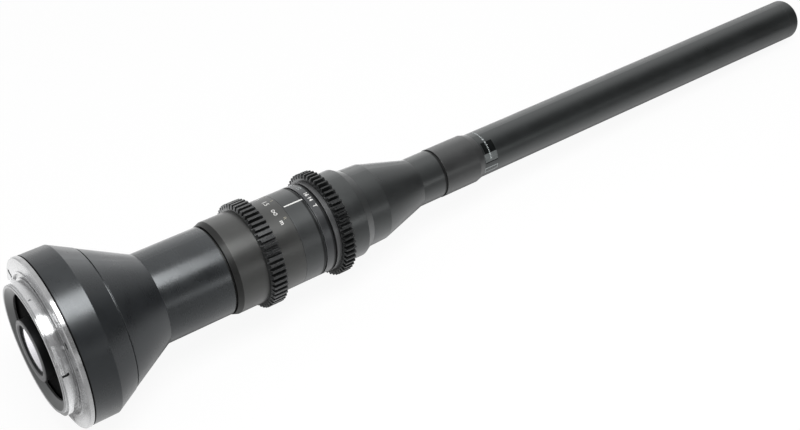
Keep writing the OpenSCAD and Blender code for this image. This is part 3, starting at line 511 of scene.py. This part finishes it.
def dome(bm, centre, axis, r, h, around=20, up=5):
    """A shallow dome of radius r and height h, standing on a point and pointing along an axis."""
    axis = Vector(axis).normalized()
    side = axis.orthogonal().normalized()
    other = axis.cross(side)
    rows = []
    for j in range(up):
        rise = math.pi / 2 * j / up
        row = []
        for i in range(around):
            turn = 2 * math.pi * i / around
            out = side * math.cos(turn) + other * math.sin(turn)
            row.append(bm.verts.new(centre + (out * r * math.cos(rise) + axis * h * math.sin(rise)) * MM))
        rows.append(row)
    top = bm.verts.new(centre + axis * h * MM)
    skin(bm, rows)
    for i in range(around):
        bm.faces.new((rows[-1][i], rows[-1][(i + 1) % around], top))
    bm.faces.new(list(reversed(rows[0])))


# The mount: its turned steps are at the bayonet's foot, on the flange and round the bayonet's rear edge.
STEPS = (
    ((0.45, 24.9), (-0.35, 24.9), (-0.35, 25.7), (-0.25, 25.8), (0.45, 25.8)),
    ((0.05, 27.5), (-0.22, 27.5), (-0.3, 27.6), (-0.3, 28.1), (-0.22, 28.2), (0.05, 28.2)),
    ((-4.62, 24.9), (-4.95, 24.9), (-4.95, 25.02), (-4.85, 25.06), (-4.62, 25.06)),
)
PIN_X, PIN_CIRCLE, PIN_PSI, PIN_R, PIN_H = -0.3, 25.9, 55.3, 0.8, 0.6
# a black disc of painted shade round the pin, on the flange
SHADE_DISC_X, SHADE_DISC_CIRCLE, SHADE_DISC_PSI, SHADE_DISC_R, SHADE_DISC_H = -0.005, 28.3, 54.2, 1.4, 0.03
# the two dark plates of painted shade at a lug's end, in the gap beside it: x0, x1, psi0, psi1, r and h
LUG_END_SHADE = ((-4.25, -2.4, 75.9, 77.4, 25.74, 0.10), (-2.45, -1.5, 76.2, 78.6, 25.01, 0.02))
LENS_APEX_X, LENS_RIM_X, LENS_BACK_X, LENS_R = -6.05, -5.35, -3.3, 8.75


def flange_steps():
    bm = bmesh.new()
    for outline in STEPS:
        lathe(bm, outline)
    piece("flange_steps", bm, "nickel", "barrel")


def flange_pin():
    """The small pin at the foot of the bayonet."""
    bm = bmesh.new()
    dome(bm, at(PIN_X, PIN_CIRCLE, PIN_PSI), REARWARD, PIN_R, PIN_H)
    piece("flange_pin", bm, "steel", "barrel", smooth=True)


def mount_painted_shade():
    """Painted shade: a black disc beside the pin, and two dark plates by a lug's end."""
    bm = bmesh.new()
    dome(bm, at(SHADE_DISC_X, SHADE_DISC_CIRCLE, SHADE_DISC_PSI), REARWARD, SHADE_DISC_R, SHADE_DISC_H)
    for sizes in LUG_END_SHADE:
        plate(bm, *sizes)
    piece("mount_painted_shade", bm, "black_ink_and_painted_shade", "barrel")


def rear_lens(around=64, rings=12):
    """The rear glass, domed towards -X and flat at the back, which stands in for the CAD node."""
    bm = bmesh.new()
    sag = LENS_RIM_X - LENS_APEX_X
    bend = (LENS_R * LENS_R + sag * sag) / (2 * sag)
    outline = []
    for j in range(1, rings + 1):
        r = LENS_R * j / rings
        outline.append((LENS_APEX_X + bend - math.sqrt(bend * bend - r * r), r))
    outline.append((LENS_BACK_X, LENS_R))
    rows = [[bm.verts.new(at(x, r, 360.0 * i / around)) for i in range(around)] for x, r in outline]
    apex = bm.verts.new(at(LENS_APEX_X, 0, 0))
    for i in range(around):
        bm.faces.new((apex, rows[0][(i + 1) % around], rows[0][i]))
    skin(bm, rows)
    bm.faces.new(rows[-1])
    obj = piece("rear_lens_face", bm, "glass", "barrel", smooth=True)
    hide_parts("rear_element")


# The aperture gear: a low smooth shoulder, then the teeth, cleared round each grub screw.
GEAR_TEETH, GEAR_ROOT, GEAR_TIP = 53, 20.2, 22.0
GEAR_X0, GEAR_BEVEL, GEAR_BORE = 115.4, 0.45, 18.2
SHOULDER_X0, SHOULDER_R, SHOULDER_BEVEL = 113.35, 19.17, 0.07
GRUB_X, GRUB_R, GRUB_ANGLES = 117.1, 0.8, (160, 225, 290)
# half the angle of a tooth at its foot and at its crest, and of the clear stretch at a screw
FOOT_PSI, CREST_PSI, CLEAR_PSI = 2.42, 0.80, 2.6


def gear_row(bm, psi, r):
    """One outline of the gear, which reaches out to r, or only to the root beside a grub screw."""
    near = any(abs((psi - a + 180) % 360 - 180) < CLEAR_PSI for a in GRUB_ANGLES)
    low = GEAR_ROOT if near else r
    outline = ((GEAR_X1, GEAR_BORE), (GEAR_X0, GEAR_BORE), (GEAR_X0, GEAR_ROOT),
               (GEAR_X0 + GEAR_BEVEL, r), (GRUB_X - GRUB_R, r), (GRUB_X - GRUB_R, low),
               (GRUB_X + GRUB_R, low), (GRUB_X + GRUB_R, r), (GEAR_X1 - GEAR_BEVEL, r),
               (GEAR_X1, GEAR_ROOT))
    return [bm.verts.new(at(x, out, psi)) for x, out in outline]


def gear_teeth():
    """Each tooth has a foot and a crest on either side, and is joined to the next one."""
    bm = bmesh.new()
    rows = []
    for i in range(GEAR_TEETH):
        middle = 360.0 * i / GEAR_TEETH
        rows.append(gear_row(bm, middle - FOOT_PSI, GEAR_ROOT))
        rows.append(gear_row(bm, middle - CREST_PSI, GEAR_TIP))
        rows.append(gear_row(bm, middle + CREST_PSI, GEAR_TIP))
        rows.append(gear_row(bm, middle + FOOT_PSI, GEAR_ROOT))
    skin(bm, rows, closed=True)
    obj = piece("aperture_gear_teeth", bm, "front_gear", "aperture_ring_group")
    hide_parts("aperture_gear")


def gear_shoulder():
    bm = bmesh.new()
    lathe(bm, [(SHOULDER_X0, GEAR_BORE), (SHOULDER_X0, SHOULDER_R - SHOULDER_BEVEL),
               (SHOULDER_X0 + SHOULDER_BEVEL, SHOULDER_R), (GEAR_X0, SHOULDER_R), (GEAR_X0, GEAR_BORE)])
    piece("aperture_gear_shoulder", bm, "shoulder", "aperture_ring_group")


def gear_grubs():
    """The grub screws at the roots of the teeth, and in each a black hexagon as painted shade in its socket.
    """
    screws = bmesh.new()
    socket_shade = bmesh.new()
    for psi in GRUB_ANGLES:
        out = at(0.0, 1.0, psi)
        dome(screws, at(GRUB_X, GEAR_ROOT - 0.01, psi), out, GRUB_R - 0.05, 0.05)
        dome(socket_shade, at(GRUB_X, GEAR_ROOT + 0.03, psi), out, GRUB_R / 2, 0.03, around=6, up=2)
    obj = piece("aperture_gear_grubs", screws, "grub", "aperture_ring_group")
    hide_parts("aperture_gear_screws")
    piece("aperture_gear_sockets", socket_shade, "black_ink_and_painted_shade", "aperture_ring_group")


# The marks on the rings.
INK_HALF = 0.02
INK_GAP, BEND_STEP = 0.005, 0.35
INDEX_X0, INDEX_X1, INDEX_PSI, INDEX_HALF_PSI = 99.5, 107.85, 10.3, 0.95
METRES_X, METRES_SIZE, FEET_X, FEET_SIZE = 94.7, 2.9, 97.6, 1.7
INFINITY_PSI, INFINITY_WIDTH, INFINITY_HEIGHT, INFINITY_STROKE = 12.2, 2.85, 1.275, 0.3
FOCUS_MARKS = (("1.5", "5", -8.0), ("1", "3.3", -28.0), ("0.8", "2.6", -47.0), ("0.7", "2.3", -65.0),
               ("0.6", "2", -84.0), ("0.55", "1.8", -105.0), ("0.5", "1.6", -130.0), ("0.48", "1.5", -158.0))
# name, text, size, boldness, x, psi and material of each unit
UNIT_MARKS = (("focus_unit_m", "m", 2.5, 0.06, 95.0, 28.6, "white"),
              ("focus_unit_ft", "ft", 1.9, 0.0, 97.0, 25.0, "amber"))
STOPS_X, STOPS_SIZE, BRIGHT_STOPS = 110.7, 2.3, 3
STOP_MARKS = (("T", 25.3), ("14", 14.3), ("16", 5.3), ("22", -10.7), ("32", -29.0), ("40", -48.7))


def glyphs(text, size, bold):
    """The flat mesh of a short number, centred, as a bmesh in mm."""
    curve = bpy.data.curves.new("glyphs", "FONT")
    curve.body, curve.size = text, size
    curve.align_x, curve.align_y = "CENTER", "CENTER"
    curve.extrude, curve.offset, curve.resolution_u = INK_HALF, bold, 3
    obj = bpy.data.objects.new("glyphs", curve)
    scene.collection.objects.link(obj)
    data = bpy.data.meshes.new_from_object(obj.evaluated_get(bpy.context.evaluated_depsgraph_get()))
    bm = bmesh.new()
    bm.from_mesh(data)
    bpy.data.objects.remove(obj)
    bpy.data.curves.remove(curve)
    bpy.data.meshes.remove(data)
    return bm


def infinity(width, height, stroke, around=64):
    """The sign for infinity as a flat stroke, centred."""
    bm = bmesh.new()
    rows = []
    for i in range(around):
        t = 2 * math.pi * i / around
        middle = Vector((width / 2 * math.cos(t), height / 2 * math.sin(2 * t), 0))
        along = Vector((-width / 2 * math.sin(t), height * math.cos(2 * t), 0)).normalized()
        across = Vector((-along.y, along.x, 0)) * stroke / 2
        rows.append([bm.verts.new(middle + across * side + Vector((0, 0, z))) for side, z in
                     ((-1, -INK_HALF), (1, -INK_HALF), (1, INK_HALF), (-1, INK_HALF))])
    skin(bm, rows, closed=True)
    return bm


def wrap(bm, x, r, psi):
    """Bends a flat mesh in mm round the axis: its right turns with psi, its top points to the tip."""
    cut = min(v.co.x for v in bm.verts) + BEND_STEP
    end = max(v.co.x for v in bm.verts)
    while cut < end:
        bmesh.ops.bisect_plane(bm, geom=bm.verts[:] + bm.edges[:] + bm.faces[:], plane_co=(cut, 0, 0),
                               plane_no=(1, 0, 0))
        cut += BEND_STEP
    for v in bm.verts:
        right, up, over = v.co
        v.co = at(x + up, r + INK_GAP + over, psi + math.degrees(right / r))


def mark(name, bm, x, psi, body, key="white"):
    """Lays a flat mesh on one of the rings."""
    wrap(bm, x, RING_R, psi)
    piece(name, bm, key, body)


def index_line():
    bm = bmesh.new()
    plate(bm, INDEX_X0, INDEX_X1, INDEX_PSI - INDEX_HALF_PSI, INDEX_PSI + INDEX_HALF_PSI, RING_R, INK_HALF)
    piece("index_line", bm, "white", "barrel")


def focus_scale():
    """Metres in white, with feet smaller beside them."""
    sign = infinity(INFINITY_WIDTH, INFINITY_HEIGHT, INFINITY_STROKE)
    mark("focus_m_0", sign, METRES_X, INFINITY_PSI, "focus_ring")
    for k, (metres, feet, psi) in enumerate(FOCUS_MARKS, 1):
        mark("focus_m_%d" % k, glyphs(metres, METRES_SIZE, 0.0), METRES_X, psi, "focus_ring")
        mark("focus_ft_%d" % k, glyphs(feet, FEET_SIZE, 0.0), FEET_X, psi, "focus_ring", "amber")
    for name, text, size, bold, x, psi, key in UNIT_MARKS:
        mark(name, glyphs(text, size, bold), x, psi, "focus_ring", key)


def aperture_scale():
    """The T and the first stops are bold and white, the others thin and pale."""
    for k, (text, psi) in enumerate(STOP_MARKS):
        bold, key = (0.05, "white") if k < BRIGHT_STOPS else (0.0, "ink_pale")
        mark("aperture_%d" % k, glyphs(text, STOPS_SIZE, bold), STOPS_X, psi, "aperture_ring_group", key)


# The printed band in front of the collar: a broken line, and plain blocks of (x0, x1, psi0, psi1) plates.
LINE_X0, LINE_X1, LINE_PSI0, LINE_PSI1, LINE_H = 200.15, 200.75, -20.0, 71.0, 0.018
DASHES = (2.4, 1.4, 3.6, 1.8, 4.2, 1.2, 2.8)
DASH_GAPS = (1.6, 2.3, 1.3, 2.0)
DASH_SHIFTS = (0.0, 0.12, 0.05)
DASH_WIDER = (0.0, 0.2)
BAND_BLOCKS = (
    ("band_block_black", "black_ink_and_painted_shade", 0.010, ((198.0, 204.0, 27.0, 57.0), (197.6, 204.2, 79.4, 81.6))),
    ("band_block_grey", "ink_grey", 0.010, ((197.3, 204.2, 57.2, 79.0),)),
    ("band_frame", "ink_pale", 0.012, ((197.2, 197.5, 95.0, 110.0), (204.0, 204.3, 95.0, 110.0),
                                       (197.5, 204.0, 95.0, 96.8), (197.5, 204.0, 108.2, 110.0))),
)


def band_line():
    bm = bmesh.new()
    psi, k = LINE_PSI0, 0
    while psi < LINE_PSI1:
        end = psi + DASHES[k % len(DASHES)]
        plate(bm, LINE_X0 + DASH_SHIFTS[k % len(DASH_SHIFTS)], LINE_X1 + DASH_WIDER[k % len(DASH_WIDER)],
              psi, end, TUBE_R, LINE_H)
        psi, k = end + DASH_GAPS[k % len(DASH_GAPS)], k + 1
    piece("band_line", bm, "ink_pale", "barrel")


def band_blocks():
    for name, key, h, plates in BAND_BLOCKS:
        bm = bmesh.new()
        for x0, x1, psi0, psi1 in plates:
            plate(bm, x0, x1, psi0, psi1, TUBE_R, h)
        piece(name, bm, key, "barrel")


# The lamps at the tip, and the contacts that feed them.
LAMP_ANGLES, LAMP_CIRCLE, LAMP_R, LAMP_H = range(30, 360, 60), 6.85, 0.5, 0.22
CONTACTS, CONTACT_STEP, CONTACT_H = 5, 1.1, 3.4
CONTACT_X, CONTACT_R, CONTACT_PSI = 137.25, 12.2, 215


def lamp_domes():
    """A dome of phosphor on each lamp chip."""
    bm = bmesh.new()
    for psi in LAMP_ANGLES:
        dome(bm, at(CHIP_X - 0.01, LAMP_CIRCLE, psi), FORWARD, LAMP_R, LAMP_H)
    piece("lamp_domes", bm, "phosphor", "barrel", smooth=True)


def socket_contacts():
    """A row of contacts in the power socket, each slimmer at its outer end."""
    bm = bmesh.new()
    out = at(0.0, 1.0, CONTACT_PSI)
    side = at(0.0, 1.0, CONTACT_PSI - 90)
    forward = Vector(FORWARD) * MM
    for i in range(CONTACTS):
        foot = at(CONTACT_X, CONTACT_R, CONTACT_PSI) + side * (i - CONTACTS // 2) * CONTACT_STEP
        rows = [[bm.verts.new(foot + forward * half_x * right + side * half_y * left + out * h)
                 for right, left in ((-1, -1), (1, -1), (1, 1), (-1, 1))]
                for half_x, half_y, h in ((0.25, 0.22, 0.0), (0.20, 0.16, CONTACT_H))]
        bm.faces.new(rows[0])
        bm.faces.new(rows[1])
        skin(bm, rows)
    piece("socket_contacts", bm, "gold", "barrel")


for build in (flange_steps, flange_pin, mount_painted_shade, gear_teeth, gear_shoulder, gear_grubs, index_line,
              focus_scale, aperture_scale, band_line, band_blocks, rear_lens, lamp_domes, socket_contacts):
    build()


# The floor of the studio, and what metal and glass see of it by place: less on the camera's side, and a
# painted shadow of the lens in the dip just under it.
FLOOR_Y = ((-600, 0.36), (-200, 0.40), (-117, 0.38), (-90, 0.47), (-70, 0.56), (-55, 0.65), (-42, 0.80),
           (-30, 0.98), (-16, 1.08), (-10, 1.10), (-6, 0.50), (-3, 0.40), (15, 0.64), (35, 1.25), (55, 2.15),
           (72, 2.30), (92, 1.98), (118, 1.40), (150, 1.22), (230, 1.32), (600, 1.20))
FLOOR_X = ((-100, 0.55), (-46, 0.52), (-33, 0.62), (-12, 0.66), (-4, 1.15), (5, 1.15), (13, 0.90),
           (22, 0.88), (40, 0.74), (60, 0.76), (85, 0.90), (110, 1.04), (150, 1.08), (200, 1.00),
           (260, 0.94), (330, 0.84), (420, 0.66), (450, 0.50), (500, 0.32))
# even far behind the mount
BEHIND_X0, BEHIND_X1, BEHIND_LEVEL = -50.0, -100.0, 0.75
FLOOR_WHITE, FLOOR_GLOW, FLOOR_GAP, FLOOR_SCALE = (0.86, 0.86, 0.86), 1.02, 0.1, 3.0
# the share of each kind of ray that gets a glow, and what metal still gets of the plain floor
CAMERA_SHARE, GLASS_SHARE, METAL_SHARE, PLAIN_LEVEL = 0.9, 0.9, 0.6, 0.31


def floor_material():
    """White to the camera, and uneven to metal, with a painted shadow of the lens under it."""
    net = Net(bpy.data.materials.new("floor_white"))
    place = net.add("ShaderNodeNewGeometry").outputs["Position"]
    x, y, _ = net.split(net.vmath("SCALE", place, scale=1.0 / MM))
    level = net.math("MULTIPLY", net.curve(y, FLOOR_Y), net.curve(x, FLOOR_X))
    level = net.blend(net.ramp(x, BEHIND_X0, BEHIND_X1), level, BEHIND_LEVEL)
    level = net.math("DIVIDE", net.math("SUBTRACT", level, PLAIN_LEVEL), METAL_SHARE)
    glow = net.shader("ShaderNodeEmission", Strength=FLOOR_GLOW)
    glossy_glow_with_painted_shadow = net.shader("ShaderNodeEmission", Strength=level)
    top = net.shader("ShaderNodeBsdfDiffuse", Color=FLOOR_WHITE)
    rays = net.add("ShaderNodeLightPath").outputs
    for ray, share, shader in (("Is Camera Ray", CAMERA_SHARE, glow),
                               ("Is Transmission Ray", GLASS_SHARE, glow),
                               ("Is Glossy Ray", METAL_SHARE, glossy_glow_with_painted_shadow)):
        top = net.mix_shaders(net.math("MULTIPLY", rays[ray], share), top, shader)
    return net.done(top)


def floor():
    """A floor that the lens lies on: it passes just under the rim of the flange and the tip."""
    bm = bmesh.new()
    bmesh.ops.create_grid(bm, x_segments=1, y_segments=1, size=1.0)
    data = bpy.data.meshes.new("floor")
    bm.to_mesh(data)
    bm.free()
    obj = bpy.data.objects.new("floor", data)
    slope = math.atan2(FLANGE_R - TUBE_R, TIP_X)
    obj.location = Vector((TIP_X / 2, 0.0, -(FLANGE_R + TUBE_R) / 2 - FLOOR_GAP)) * MM
    obj.rotation_euler = (0.0, -slope, 0.0)
    obj.scale = (FLOOR_SCALE, FLOOR_SCALE, 1.0)
    scene.collection.objects.link(obj)
    data.materials.append(floor_material())


# The tent over it. Brightness by angle round the lens: 0 level towards -Y, 90 up, 180 level towards +Y.
TENT = ((-150, 1.25), (-120, 0.95), (-96, 0.85), (-80, 1.02), (-63, 0.98), (-47, 0.88), (-31, 0.68),
        (-19, 0.5), (-7, 0.42), (1, 0.31), (9, 0.24), (17, 0.19), (25, 0.16), (33, 0.12), (42, 0.10),
        (54, 0.10), (62, 0.15), (70, 0.22), (78, 0.37), (88, 0.62), (98, 0.87), (108, 1.06), (130, 1.05),
        (146, 1.18), (158, 1.42), (170, 1.60), (182, 1.62), (196, 1.60), (210, 1.40))
# and by how far the ray leans towards the tip
LEAN = ((-1.0, 0.85), (-0.5, 0.85), (-0.3, 0.62), (-0.1, 0.48), (0.1, 0.46), (0.2, 0.49), (0.27, 0.66),
        (0.31, 0.79), (0.35, 0.92), (0.41, 1.06), (0.48, 1.08), (0.56, 1.10), (0.64, 1.02), (0.70, 0.88),
        (0.76, 0.78), (0.85, 0.62), (0.93, 0.42), (1.0, 0.35))
# even at the two ends, where the angles round the lens meet: (from lean, to lean, level)
TENT_ENDS = ((-0.45, -0.85, 0.75), (0.95, 0.995, 0.30))
# a pale panel low down on the open side, with the angles from its middle to its edge and to its core
PANEL_TOWARDS, PANEL_EDGE, PANEL_CORE, PANEL_LEVEL = Vector((0.40, -0.89, 0.165)), 9.5, 1.5, 2.5
WHITE, SOFT_LEVEL = (1.0, 1.0, 1.0), 0.45


def studio_world():
    """White to the camera; elsewhere a white tent that is open, and darker, on one side."""
    world = bpy.data.worlds.new("studio")
    scene.world = world
    net = Net(world, "ShaderNodeOutputWorld")
    towards = net.add("ShaderNodeTexCoord").outputs["Generated"]
    lean = net.split(towards)[0]
    # the angle is worked out from the middle of its range, so that its seam lies low on the far side
    middle = (TENT[0][0] + TENT[-1][0]) / 2
    turn = math.radians(middle)
    across = net.vmath("DOT_PRODUCT", towards, (0.0, -math.cos(turn), math.sin(turn)))
    rise = net.vmath("DOT_PRODUCT", towards, (0.0, math.sin(turn), math.cos(turn)))
    angle = net.math("MULTIPLY_ADD", net.math("ARCTAN2", rise, across), math.degrees(1.0), middle)
    strength = net.math("MULTIPLY", net.curve(angle, TENT), net.curve(lean, LEAN))
    for lo, hi, level in TENT_ENDS:
        strength = net.blend(net.ramp(lean, lo, hi), strength, level)
    facing = net.vmath("DOT_PRODUCT", towards, PANEL_TOWARDS.normalized())
    edge, core = math.cos(math.radians(PANEL_EDGE)), math.cos(math.radians(PANEL_CORE))
    strength = net.math("ADD", strength, net.ramp(facing, edge, core, 0.0, PANEL_LEVEL))
    tent = net.shader("ShaderNodeBackground", Color=WHITE, Strength=strength)
    soft = net.shader("ShaderNodeBackground", Color=WHITE, Strength=SOFT_LEVEL)
    white = net.shader("ShaderNodeBackground", Color=WHITE, Strength=1.0)
    rays = net.add("ShaderNodeLightPath").outputs
    top = net.mix_shaders(rays["Is Diffuse Ray"], tent, soft)
    net.done(net.mix_shaders(rays["Is Camera Ray"], top, white))


# The lamp over the lens, on the camera's side.
SOFTBOX_PLACE, SOFTBOX_TARGET = Vector((70, -212, 612)), Vector((50, 0, 0))
SOFTBOX_WIDTH, SOFTBOX_DEPTH, SOFTBOX_RADIANCE = 385, 330, 7.4


def top_softbox():
    data = bpy.data.lights.new("top_softbox", "AREA")
    data.shape = "RECTANGLE"
    data.size, data.size_y = SOFTBOX_WIDTH * MM, SOFTBOX_DEPTH * MM
    data.energy = SOFTBOX_RADIANCE * math.pi * data.size * data.size_y
    obj = bpy.data.objects.new("top_softbox", data)
    obj.location = SOFTBOX_PLACE * MM
    obj.rotation_mode = "QUATERNION"
    obj.rotation_quaternion = (SOFTBOX_PLACE - SOFTBOX_TARGET).to_track_quat("Z", "Y")
    obj.visible_camera = False
    scene.collection.objects.link(obj)


floor()
studio_world()
top_softbox()
